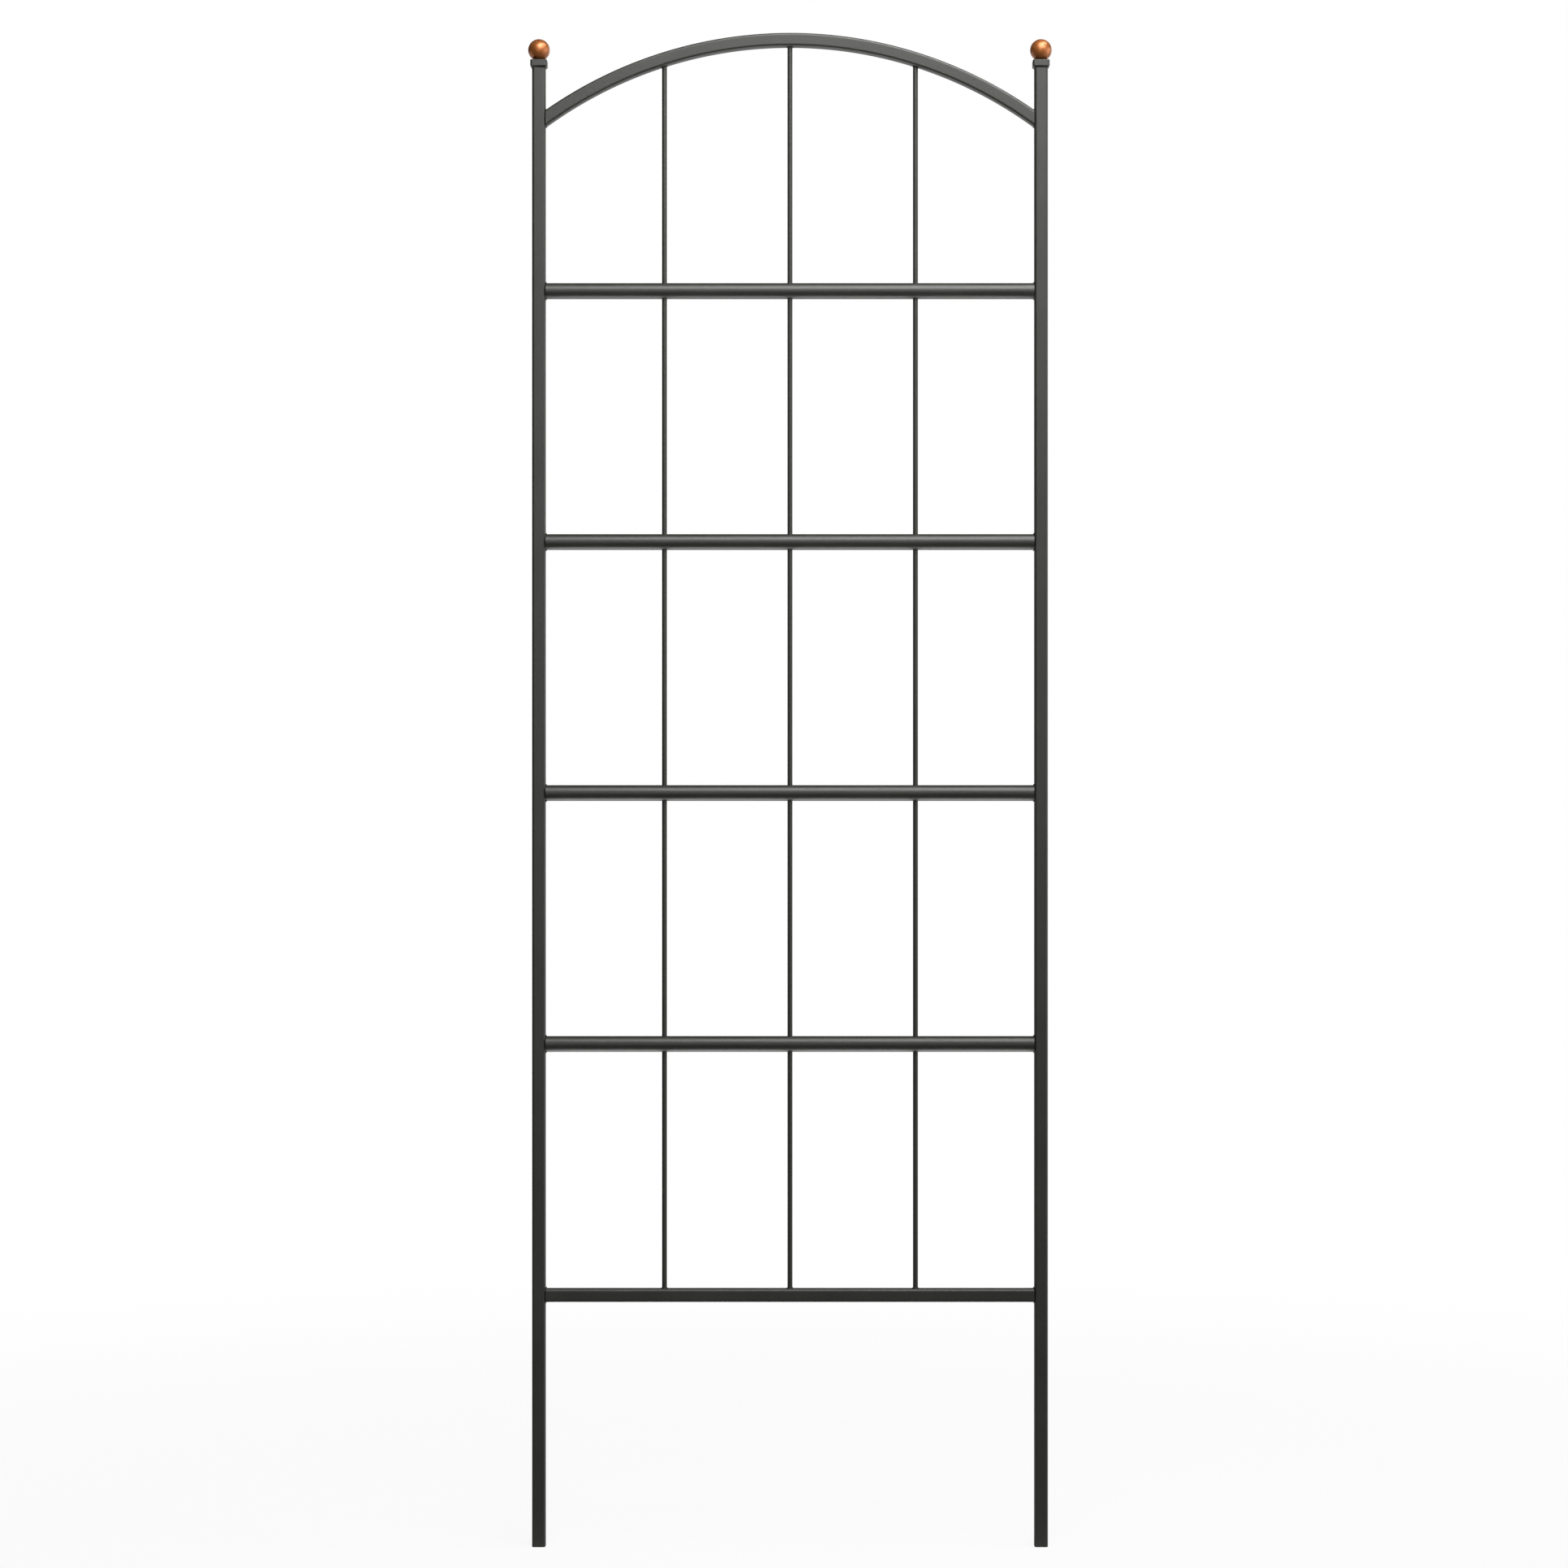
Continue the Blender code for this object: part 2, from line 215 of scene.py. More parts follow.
class MaterialGraph(Graph):
    """The shader tree of a new material."""

    LINE_STRETCH = (0.02, 0.02, 1.0)

    def __init__(self, name: str) -> None:
        """Make the material and clear its tree.

        Args:
            name: The material's name.
        """
        self.material = bpy.data.materials.new(name)
        self.material.use_nodes = True
        super().__init__(self.material.node_tree)
        self.tree.nodes.clear()
        self.place = self.add("ShaderNodeTexCoord")["Object"]

    def noise(self, scale: float, detail: float, roughness: float = 0.5, turned: bool = False) -> Signal:
        """Noise over a piece, 0 to 1.

        Args:
            scale: Waves per metre.
            detail: Octaves.
            roughness: Strength of the finer octaves.
            turned: Whether it is drawn out into the level lines of turned work.

        Returns:
            The noise.
        """
        place = self.place
        if turned:
            sockets = {"Vector": place, "Scale": self.LINE_STRETCH}
            place = self.add("ShaderNodeMapping", sockets, vector_type="POINT")
        sockets = {"Vector": place, "Scale": scale, "Detail": detail, "Roughness": roughness}
        return self.add("ShaderNodeTexNoise", sockets, noise_dimensions="3D")

    def bump(self, height: Signal, strength: float, distance: float) -> Signal:
        """The normal of a height of 0 to 1, where 1 stands for the distance in metres."""
        sockets = {"Height": height, "Strength": strength, "Distance": distance}
        return self.add("ShaderNodeBump", sockets)

    def finish(self, sockets: Mapping[str, Any], preview: Colour) -> Material:
        """Close the tree with a Principled shader.

        Args:
            sockets: Values or signals of the shader's inputs.
            preview: The viewport's colour.

        Returns:
            The finished material.
        """
        shader = self.add("ShaderNodeBsdfPrincipled", sockets)
        self.add("ShaderNodeOutputMaterial", {"Surface": shader})
        self.material.diffuse_color = (*preview, 1.0)
        return self.material


@dataclass(frozen=True)
class PowderCoat:
    """Satin anthracite powder coat with a fine orange peel, a little scuffed at the ground."""

    dark: Colour = (0.0195, 0.0199, 0.0155)
    light: Colour = (0.0275, 0.028, 0.0222)
    scuffed: Colour = (0.07, 0.07, 0.066)
    roughness: float = 0.42
    specular: float = 0.6
    cloud_scale: float = 14.0
    cloud_share: float = 0.6
    cloud_roughness: float = 0.1
    peel_scale: float = 620.0
    peel_share: float = 0.25
    fleck_scale: float = 2600.0
    fleck_share: float = 0.15
    fleck_roughness: float = 0.06
    tone_range: Span = (0.32, 0.68)
    relief_shares: Span = (0.8, 0.2)
    relief_strength: float = 0.55
    relief_height: float = 0.00005
    scuff_height: float = 0.012
    scuff_range: Span = (1.0, 1.35)
    scuff_roughness: float = 0.15

    def material(self) -> Material:
        """Build the coat.

        Returns:
            The material.
        """
        graph = MaterialGraph("anthracite_powder_coat")
        cloud = graph.noise(self.cloud_scale, detail=3.0, roughness=0.55)
        peel = graph.noise(self.peel_scale, detail=2.0, roughness=0.45)
        fleck = graph.noise(self.fleck_scale, detail=1.0)
        height = graph.split(graph.place)[2] + cloud.centred() * self.scuff_height
        near_ground = 1.0 - height.ramp(0.0, self.scuff_height)
        scuff = near_ground * (peel + fleck).ramp(*self.scuff_range)
        shade = cloud * self.cloud_share + peel * self.peel_share + fleck * self.fleck_share
        coat = graph.blend(shade.ramp(*self.tone_range), self.dark, self.light)
        colour = graph.blend(scuff, coat, self.scuffed)
        uneven = cloud.centred() * self.cloud_roughness + fleck.centred() * self.fleck_roughness
        rough = uneven + scuff * self.scuff_roughness + self.roughness
        relief = peel * self.relief_shares[0] + fleck * self.relief_shares[1]
        normal = graph.bump(relief, self.relief_strength, self.relief_height)
        sockets = {
            "Base Color": colour, "Roughness": rough, "Metallic": 0.0, "Normal": normal,
            "Specular IOR Level": self.specular,
        }
        return graph.finish(sockets, self.light)


@dataclass(frozen=True)
class CopperPlate:
    """Satin copper plate under clear lacquer, with turned lines and a slight brown bloom."""

    bright: Colour = (0.42, 0.133, 0.031)
    brown: Colour = (0.33, 0.098, 0.022)
    roughness: float = 0.41
    metal: float = 0.65
    specular: float = 0.25
    lacquer: float = 0.7
    lacquer_roughness: float = 0.28
    bloom: float = 0.22
    bloom_roughness: float = 0.04
    cloud_scale: float = 110.0
    cloud_share: float = 0.7
    speck_scale: float = 1560.0
    speck_share: float = 0.3
    stain_range: Span = (0.35, 0.7)
    line_scale: float = 5200.0
    line_roughness: float = 0.06
    line_strength: float = 0.25
    line_height: float = 0.000012

    def material(self) -> Material:
        """Build the plate.

        Returns:
            The material.
        """
        graph = MaterialGraph("satin_copper_plate")
        cloud = graph.noise(self.cloud_scale, detail=4.0, roughness=0.6)
        speck = graph.noise(self.speck_scale, detail=1.0)
        lines = graph.noise(self.line_scale, detail=2.0, turned=True)
        stain = (cloud * self.cloud_share + speck * self.speck_share).ramp(*self.stain_range)
        colour = graph.blend(stain * self.bloom, self.bright, self.brown)
        rough = stain * self.bloom_roughness + lines.centred() * self.line_roughness + self.roughness
        normal = graph.bump(lines, self.line_strength, self.line_height)
        sockets = {
            "Base Color": colour, "Roughness": rough, "Metallic": self.metal, "Normal": normal,
            "Coat Weight": self.lacquer, "Coat Roughness": self.lacquer_roughness,
            "Specular IOR Level": self.specular,
        }
        return graph.finish(sockets, self.bright)


@dataclass(frozen=True)
class ZincPlate:
    """Bright zinc plate of the hidden studs, with turned lines."""

    bright: Colour = (0.62, 0.62, 0.6)
    dull: Colour = (0.42, 0.43, 0.44)
    roughness: float = 0.32
    spangle_scale: float = 700.0
    spangle_range: Span = (0.35, 0.65)
    spangle_roughness: float = 0.2
    line_scale: float = 6500.0
    line_strength: float = 0.4
    line_height: float = 0.00002

    def material(self) -> Material:
        """Build the plate.

        Returns:
            The material.
        """
        graph = MaterialGraph("bright_zinc_plate")
        spangle = graph.noise(self.spangle_scale, detail=3.0)
        lines = graph.noise(self.line_scale, detail=1.0, turned=True)
        colour = graph.blend(spangle.ramp(*self.spangle_range), self.bright, self.dull)
        rough = spangle.centred() * self.spangle_roughness + self.roughness
        normal = graph.bump(lines, self.line_strength, self.line_height)
        sockets = {"Base Color": colour, "Roughness": rough, "Metallic": 1.0, "Normal": normal}
        return graph.finish(sockets, self.bright)


class ShapeGraph(Graph):
    """A Geometry Nodes tree with named inputs, which becomes a plain mesh."""

    SOCKETS = {
        bool: "NodeSocketBool", int: "NodeSocketInt", float: "NodeSocketFloat",
        tuple: "NodeSocketVector", Material: "NodeSocketMaterial",
    }

    def __init__(self, name: str, paint: Material, inputs: Mapping[str, Any]) -> None:
        """Make the tree and its inputs.

        Args:
            name: The tree's name.
            paint: The piece's finish, which becomes the input Material.
            inputs: Name of each other input, and its value where a piece gives none of its own.
        """
        super().__init__(bpy.data.node_groups.new(name, "GeometryNodeTree"))
        self.values = {**inputs, "Material": paint}
        new_socket = self.tree.interface.new_socket
        new_socket("Geometry", in_out="INPUT", socket_type="NodeSocketGeometry")
        for title, value in self.values.items():
            kind = next(socket for base, socket in self.SOCKETS.items() if isinstance(value, base))
            new_socket(title, in_out="INPUT", socket_type=kind)
        new_socket("Geometry", in_out="OUTPUT", socket_type="NodeSocketGeometry")
        self.given = self.add("NodeGroupInput")

    def vector(self, x: Operand = 0.0, y: Operand = 0.0, z: Operand = 0.0) -> Signal:
        """A vector from three numbers or signals."""
        return self.add("ShaderNodeCombineXYZ", {0: x, 1: y, 2: z})

    def position(self) -> tuple[Signal, Signal, Signal]:
        """The three parts of the position field."""
        return self.split(self.add("GeometryNodeInputPosition"))

    def move_points(self, geometry: Signal, place: Signal) -> Signal:
        """Geometry with each of its points moved to a place."""
        return self.add("GeometryNodeSetPosition", {"Geometry": geometry, "Position": place})

    def transform(self, geometry: Signal, place: Any = ORIGIN, turn: Any = ORIGIN) -> Signal:
        """Geometry that is turned and then moved."""
        sockets = {"Geometry": geometry, "Translation": place, "Rotation": turn}
        return self.add("GeometryNodeTransform", sockets, mode="COMPONENTS")

    def line(self, start: Signal, end: Signal, steps: Signal) -> Signal:
        """A straight path from start to end, cut into steps."""
        path = self.add("GeometryNodeCurvePrimitiveLine", {"Start": start, "End": end}, mode="POINTS")
        return self.add("GeometryNodeResampleCurve", {"Curve": path, "Count": steps + 1.0}, mode="COUNT")

    def sweep(self, path: Signal, section: Signal, scale: Operand = 1.0) -> Signal:
        """A closed solid from a section that follows a path."""
        sockets = {"Curve": path, "Profile Curve": section, "Scale": scale, "Fill Caps": True}
        return self.add("GeometryNodeCurveToMesh", sockets)

    def cut(self, solid: Signal, cutter: Signal, crossing: bool = False) -> Signal:
        """A solid less its cutter, whose parts may cross each other."""
        sockets = {"Mesh 1": solid, "Mesh 2": cutter, "Self Intersection": crossing}
        return self.add("GeometryNodeMeshBoolean", sockets, operation="DIFFERENCE", solver="EXACT")

    def close(self, geometry: Signal) -> None:
        """End the tree in Realize Instances and Set Material.

        Args:
            geometry: The shape.
        """
        whole = self.add("GeometryNodeRealizeInstances", {"Geometry": geometry})
        sockets = {"Geometry": whole, "Material": self.given["Material"]}
        painted = self.add("GeometryNodeSetMaterial", sockets)
        self.add("NodeGroupOutput", {0: painted})

    def modifier(self, piece: Piece, values: Mapping[str, Any]) -> None:
        """Put the tree on a piece, with its inputs set by their identifiers.

        Args:
            piece: The piece.
            values: The inputs that are the piece's own.
        """
        modifier = piece.modifiers.new(self.tree.name, "NODES")
        modifier.node_group = self.tree
        chosen = {**self.values, **values}
        for item in self.tree.interface.items_tree:
            if item.item_type == "SOCKET" and item.in_out == "INPUT" and item.name in chosen:
                modifier[item.identifier] = chosen[item.name]


def draft(name: str, shape: BMesh | None = None, place: Sequence[float] = ORIGIN) -> Piece:
    """Link a new object that sits at the origin.

    Args:
        name: The object's name.
        shape: Its shape, which is used up, or None for an empty mesh.
        place: Where the shape goes within the mesh.

    Returns:
        The object.
    """
    mesh = bpy.data.meshes.new(name)
    if shape is not None:
        bmesh.ops.translate(shape, vec=place, verts=shape.verts)
        shape.to_mesh(mesh)
        shape.free()
    piece = bpy.data.objects.new(name, mesh)
    bpy.context.scene.collection.objects.link(piece)
    return piece


def flatten(piece: Piece) -> bpy.types.Mesh:
    """Replace a piece's mesh and modifiers by the mesh that they make.

    Args:
        piece: The piece with its modifiers.

    Returns:
        The piece's new mesh.
    """
    graph = bpy.context.evaluated_depsgraph_get()
    mesh = bpy.data.meshes.new_from_object(piece.evaluated_get(graph), depsgraph=graph)
    piece.modifiers.clear()
    old, piece.data = piece.data, mesh
    bpy.data.meshes.remove(old)
    mesh.name = piece.name
    return mesh


@dataclass
class SubAssembly:
    """A part of the trellis that completes its own pieces."""

    SMOOTH_ANGLE = math.radians(35)
    AREA_WEIGHT = 100

    finishes: Mapping[Slot, Material]

    def complete(self, piece: Piece, node: str, slot: Slot = Slot.PAINT) -> None:
        """Make a piece a plain, smooth-shaded mesh that stands for a CAD node and rides.

        The widest faces lead the normals, so that flats stay flat up to their rounded edges.

        Args:
            piece: The piece with its modifiers.
            node: Name of the CAD node that it stands for.
            slot: The record's slot of its finish.
        """
        mesh = flatten(piece)
        mesh.materials.clear()
        mesh.materials.append(self.finishes[slot])
        mesh.shade_smooth()
        mesh.set_sharp_from_angle(angle=self.SMOOTH_ANGLE)
        normals = piece.modifiers.new("flat_faces_lead", "WEIGHTED_NORMAL")
        normals.mode = "FACE_AREA"
        normals.weight = self.AREA_WEIGHT
        normals.keep_sharp = True
        flatten(piece)
        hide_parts(node)
        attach(piece, BODY)
        LOG.info("%s: %d faces, for %s", piece.name, len(piece.data.polygons), node)


class Extent:
    """The box of one CAD node: its two corners, its size and its centre."""

    def __init__(self, node: str) -> None:
        """Read the box from the frame.

        Args:
            node: The node's name.
        """
        self.low, self.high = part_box(node)
        self.size = self.high - self.low
        self.centre = (self.low + self.high) / 2


@dataclass(frozen=True)
class Circle:
    """The circle that one face of the arch follows, in the XZ plane round X = 0."""

    radius: float
    centre_z: float

    def height(self, x: float) -> float:
        """Height of the circle's upper half at x."""
        return self.centre_z + math.sqrt(self.radius**2 - x**2)


@dataclass
class SquareTubing(SubAssembly):
    """Straight and bent square tube: both posts, the bottom rail and the arch."""

    wall: float = 0.0012
    corner: float = 0.0032
    corner_steps: int = 10
    edge: float = 0.00025
    edge_steps: int = 2
    edge_angle: float = math.radians(60)
    bore_excess: float = 0.004
    straight_steps: int = 12
    arch_steps: int = 96
    arch_node: str = "top_arch"
    tree: ShapeGraph = field(init=False)

    def __post_init__(self) -> None:
        """Build the tree: a rounded square tube along X, bent where asked, then turned and moved."""
        inputs = {
            "Length": 1.0, "Side": 1.0, "Wall": self.wall, "Corner": self.corner,
            "Corner Steps": self.corner_steps, "Steps": self.straight_steps, "Bent": False,
            "Bend Radius": 1.0, "Turn": ORIGIN, "Place": ORIGIN,
        }
        graph = ShapeGraph("square_tube", self.finishes[Slot.PAINT], inputs)
        given = graph.given
        length, side, wall, corner = (given[name] for name in ("Length", "Side", "Wall", "Corner"))
        outside = self._bar(graph, length, side, corner)
        inside = self._bar(graph, length + self.bore_excess, side - wall * 2.0, corner - wall)
        tube = graph.cut(outside, inside)
        graph.close(graph.transform(tube, given["Place"], given["Turn"]))
        self.tree = graph

    @staticmethod
    def _bar(graph: ShapeGraph, length: Signal, side: Signal, corner: Signal) -> Signal:
        """A rounded square bar along X, each of whose fibres follows a circle where asked.

        Args:
            graph: The tree that it is part of.
            length: Length along X.
            side: Side of the square.
            corner: Radius of its corners.

        Returns:
            The bar.
        """
        given = graph.given
        path = graph.line(graph.vector(length * -0.5), graph.vector(length * 0.5), given["Steps"])
        sockets = {"Width": side, "Height": side}
        square = graph.add("GeometryNodeCurvePrimitiveQuadrilateral", sockets, mode="RECTANGLE")
        sockets = {"Curve": square, "Count": given["Corner Steps"], "Radius": corner}
        bar = graph.sweep(path, graph.add("GeometryNodeFilletCurve", sockets, mode="POLY"))
        x, y, z = graph.position()
        ring = given["Bend Radius"] + z
        bend = (ring * ring - x * x).root() - given["Bend Radius"]
        bent = graph.move_points(bar, graph.vector(x, y, bend))
        sockets = {0: given["Bent"], 1: bar, 2: bent}
        return graph.add("GeometryNodeSwitch", sockets, input_type="GEOMETRY")

    def _tube(self, node: str, values: Mapping[str, Any]) -> None:
        """Make one hollow tube from the tree.

        Args:
            node: The CAD node that it stands for.
            values: The tree's inputs that are its own.
        """
        piece = draft(f"{node}_tube")
        self.tree.modifier(piece, values)
        bevel = piece.modifiers.new("edges", "BEVEL")
        bevel.width = self.edge
        bevel.segments = self.edge_steps
        bevel.limit_method = "ANGLE"
        bevel.angle_limit = self.edge_angle
        self.complete(piece, node)

    def post(self, side: Side) -> None:
        """Make one upright post, open at its foot.

        Args:
            side: The post's side.
        """
        node = f"{side.label}_post"
        box = Extent(node)
        turned = {"Turn": QUARTER_TURN, "Place": box.centre}
        self._tube(node, {"Length": box.size.z, "Side": box.size.x, **turned})

    def rail(self) -> None:
        """Make the level rail that carries the rods' feet."""
        box = Extent("bottom_rail")
        self._tube("bottom_rail", {"Length": box.size.x, "Side": box.size.z, "Place": box.centre})

    def arch_circles(self) -> tuple[Circle, Circle]:
        """The circles of the arch's upper and lower faces.

        The upper one touches the top of the arch's box, and the lower one passes through the
        box's foot at both ends.

        Returns:
            The upper and the lower circle.
        """
        box = Extent(self.arch_node)
        half_span, side, height = box.size.x / 2, box.size.y, box.size.z
        radius = (half_span**2 + height**2 - side**2) / (2 * (height - side))
        centre_z = box.high.z - radius
        return Circle(radius, centre_z), Circle(radius - side, centre_z)

    def arch_slopes(self) -> dict[Level, float]:
        """How steeply the arch's upper and lower faces rise from the posts."""
        half_span = Extent(self.arch_node).size.x / 2
        return dict(zip(Level, (math.asin(half_span / circle.radius) for circle in self.arch_circles())))

    def arch(self) -> None:
        """Make the bent tube between the posts, cut upright at both ends."""
        box = Extent(self.arch_node)
        upper, lower = self.arch_circles()
        middle_radius = (upper.radius + lower.radius) / 2
        self._tube(self.arch_node, {
            "Length": box.size.x, "Side": box.size.y, "Steps": self.arch_steps, "Bent": True,
            "Bend Radius": middle_radius, "Place": (0.0, 0.0, upper.centre_z + middle_radius),
        })


@dataclass
class Rods(SubAssembly):
    """Thin upright rods from the bottom rail to their seat, the arch's lower face."""

    seat: Circle
    names: tuple[str, ...] = ("left_rod", "centre_rod", "right_rod")
    sides: int = 32
    steps: int = 24
    clearance: float = 0.0003
    tree: ShapeGraph = field(init=False)

    def radius(self) -> float:
        """Radius of a rod, from its node."""
        return Extent(self.names[0]).size.y / 2

    def places(self) -> list[float]:
        """Places of the rods across the trellis."""
        return [Extent(name).centre.x for name in self.names]

    def __post_init__(self) -> None:
        """Build the tree: a round bar whose upper end follows a circle."""
        inputs = {
            "Foot": 0.0, "Top": 1.0, "Across": 0.0, "Radius": self.radius(), "Seat Radius": 1.0,
            "Seat Centre": 0.0, "Steps": self.steps,
        }
        graph = ShapeGraph("upright_rod", self.finishes[Slot.PAINT], inputs)
        given = graph.given
        foot, top = (graph.vector(given["Across"], 0.0, given[end]) for end in ("Foot", "Top"))
        sockets = {"Resolution": self.sides, "Radius": given["Radius"]}
        section = graph.add("GeometryNodeCurvePrimitiveCircle", sockets, mode="RADIUS")
        bar = graph.sweep(graph.line(foot, top, given["Steps"]), section)
        x, y, z = graph.position()
        seat = (given["Seat Radius"] * given["Seat Radius"] - x * x).root() + given["Seat Centre"]
        at_top = z.above(given["Top"] - given["Radius"] * 0.5)
        graph.close(graph.move_points(bar, graph.vector(x, y, at_top * (seat - z) + z)))
        self.tree = graph

    def build(self) -> None:
        """Make every rod."""
        for name, across in zip(self.names, self.places()):
            piece = draft(f"{name}_bar")
            self.tree.modifier(piece, {
                "Foot": Extent(name).low.z, "Top": self.seat.height(across) - self.clearance,
                "Across": across, "Seat Radius": self.seat.radius,
                "Seat Centre": self.seat.centre_z - self.clearance,
            })
            self.complete(piece, name)


@dataclass
class CrossTubes(SubAssembly):
    """Round tubes between the posts, drilled for the upright rods."""

    rods: Rods
    names: tuple[str, ...] = ("cross_tube_1", "cross_tube_2", "cross_tube_3", "cross_tube_4")
    wall: float = 0.001
    sides: int = 96
    drill_clearance: float = 0.0003
    drill_sides: int = 48
    cutter_excess: float = 0.004
    tree: ShapeGraph = field(init=False)

    def __post_init__(self) -> None:
        """Build the tree: a tube along X with a row of holes through it, moved to its place."""
        places = self.rods.places()
        inputs = {
            "Length": 1.0, "Radius": 1.0, "Wall": self.wall, "Hole Count": len(places),
            "Hole Radius": self.rods.radius() + self.drill_clearance,
            "Hole Pitch": places[1] - places[0], "Place": ORIGIN,
        }
        graph = ShapeGraph("drilled_round_tube", self.finishes[Slot.PAINT], inputs)
        given = graph.given
        length, radius, pitch = given["Length"], given["Radius"], given["Hole Pitch"]
        bar = self._cylinder(graph, self.sides, radius, length)
        bore = self._cylinder(graph, self.sides, radius - given["Wall"], length + self.cutter_excess)
        reach = radius * 2.0 + self.cutter_excess
        drill = self._cylinder(graph, self.drill_sides, given["Hole Radius"], reach)
        first = (given["Hole Count"] - 1.0) * pitch * -0.5
        start, step = graph.vector(first), graph.vector(pitch)
        sockets = {"Count": given["Hole Count"], "Start Location": start, "Offset": step}
        row = graph.add("GeometryNodeMeshLine", sockets, mode="OFFSET")
        drills = graph.add("GeometryNodeInstanceOnPoints", {"Points": row, "Instance": drill})
        drills = graph.add("GeometryNodeRealizeInstances", {"Geometry": drills})
        level_bar, level_bore = (graph.transform(solid, turn=QUARTER_TURN) for solid in (bar, bore))
        cutters = graph.add("GeometryNodeJoinGeometry", {0: [drills, level_bore]})
        drilled = graph.cut(level_bar, cutters, crossing=True)
        graph.close(graph.transform(drilled, given["Place"]))
        self.tree = graph

    @staticmethod
    def _cylinder(graph: ShapeGraph, sides: int, radius: Signal, length: Signal) -> Signal:
        """A capped cylinder along Z."""
        sockets = {"Vertices": sides, "Radius": radius, "Depth": length}
        return graph.add("GeometryNodeMeshCylinder", sockets, fill_type="NGON")

    def build(self) -> None:
        """Make every cross tube."""
        for name in self.names:
            box = Extent(name)
            piece = draft(f"{name}_drilled")
            sizes = {"Length": box.size.x, "Radius": box.size.z / 2}
            self.tree.modifier(piece, {**sizes, "Place": box.centre})
            self.complete(piece, name)


@dataclass
class WeldBeads(SubAssembly):
    """Rippled fillet beads at every joint, each along its own path."""

    leg: float = 0.001
    ring_leg: float = 0.0008
    ripple_pitch: float = 0.001
    ripple_depth: float = 0.16
    point_spacing: float = 0.0002
    curve_steps: int = 24
    ring_steps: int = 48
    crown_steps: int = 7
    clearance: float = 0.0003
    tree: ShapeGraph = field(init=False)

    def __post_init__(self) -> None:
        """Build the tree: a sector swept along the given path, with a ripple in its size."""
        inputs = {
            "Leg": self.leg, "Start": 0.0, "Sweep": math.pi / 2, "Ripple Pitch": self.ripple_pitch,
            "Ripple Depth": self.ripple_depth, "Spacing": self.point_spacing,
        }
        graph = ShapeGraph("rippled_bead", self.finishes[Slot.PAINT], inputs)
        given = graph.given
        path = graph.add("GeometryNodeMeshToCurve", {"Mesh": given}, mode="EDGES")
        sockets = {"Curve": path, "Length": given["Spacing"]}
        fine = graph.add("GeometryNodeResampleCurve", sockets, mode="LENGTH")
        framed = graph.add("GeometryNodeSetCurveNormal", {"Curve": fine}, mode="Z_UP")
        sockets = {
            "Resolution": self.crown_steps, "Radius": given["Leg"], "Start Angle": given["Start"],
            "Sweep Angle": given["Sweep"], "Connect Center": True,
        }
        section = graph.add("GeometryNodeCurveArc", sockets, mode="RADIUS")
        run = graph.add("GeometryNodeSplineParameter")["Length"]
        wave = (run * math.pi / given["Ripple Pitch"]).sine()
        swell = 1.0 - (1.0 - wave * wave) * given["Ripple Depth"]
        graph.close(graph.sweep(framed, section, swell))
        self.tree = graph

    def _bead(self, node: str, points: list[Vector], leg: float, sector: Span, ring: bool = False) -> None:
        """Sweep one bead.

        Args:
            node: The CAD node that it stands for.
            points: The path along the joint's corner.
            leg: Leg of the fillet.
            sector: Start and sweep of the section; the angle runs from +X by way of down.
            ring: Whether the path closes on itself.
        """
        path = bmesh.new()
        verts = [path.verts.new(point) for point in points]
        for pair in zip(verts, verts[1:] + (verts[:1] if ring else [])):
            path.edges.new(pair)
        piece = draft(f"{node}_bead", path)
        self.tree.modifier(piece, {"Leg": leg, "Start": sector[0], "Sweep": sector[1]})
        self.complete(piece, node)

    @staticmethod
    def _sector(side: Side, level: Level, slope: float = 0.0) -> Span:
        """The sector that fills the corner between a post and a tube.

        Args:
            side: The post's side.
            level: Above or below the tube.
            slope: How steeply the tube rises from the post.

        Returns:
            Its start and its sweep.
        """
        upright = -level.value * math.pi / 2
        along = -slope if side is Side.LEFT else math.pi + slope
        turn = (along - upright + math.pi) % math.tau - math.pi
        return (upright, turn) if turn > 0 else (along, -turn)

    @staticmethod
    def _corners(tube: str) -> Iterator[tuple[Side, Level, str, Extent, float]]:
        """Go round the four corners between a tube and the posts.

        Args:
            tube: Start of the CAD nodes' names.

        Yields:
            A corner's side, its level, its bead's node, that node's box and the post's X.
        """
        for side, level in product(Side, Level):
            node = f"{tube}_{side.label}_{level.label}_weld"
            weld = Extent(node)
            yield side, level, node, weld, weld.high.x if side is Side.RIGHT else weld.low.x

    def at_cross_tubes(self, names: Sequence[str]) -> None:
        """Make two curved beads at both ends of every cross tube.

        Args:
            names: The cross tubes' CAD nodes.
        """
        for name in names:
            tube = Extent(name)
            reach = tube.size.z / 2 + self.clearance
            for side, level, node, weld, x in self._corners(name):
                half_angle = math.asin(weld.size.y / 2 / (reach + self.leg))
                points = []
                for step in range(self.curve_steps + 1):
                    angle = half_angle * (2 * step / self.curve_steps - 1)
                    z = tube.centre.z + level.value * reach * math.cos(angle)
                    points.append(Vector((x, reach * math.sin(angle), z)))
                self._bead(node, points, self.leg, self._sector(side, level))

    def at_square_ends(self, tube: str, slopes: Mapping[Level, float]) -> None:
        """Make two straight beads at both ends of the bottom rail or the arch.

        Args:
            tube: Start of the CAD nodes' names.
            slopes: How steeply the tube's upper and lower faces rise from the posts.
        """
        for side, level, node, weld, x in self._corners(tube):
            z = weld.low.z if level is Level.UPPER else weld.high.z
            points = [Vector((x, y, z)) for y in (weld.low.y, weld.high.y)]
            self._bead(node, points, self.leg, self._sector(side, level, slopes[level]))

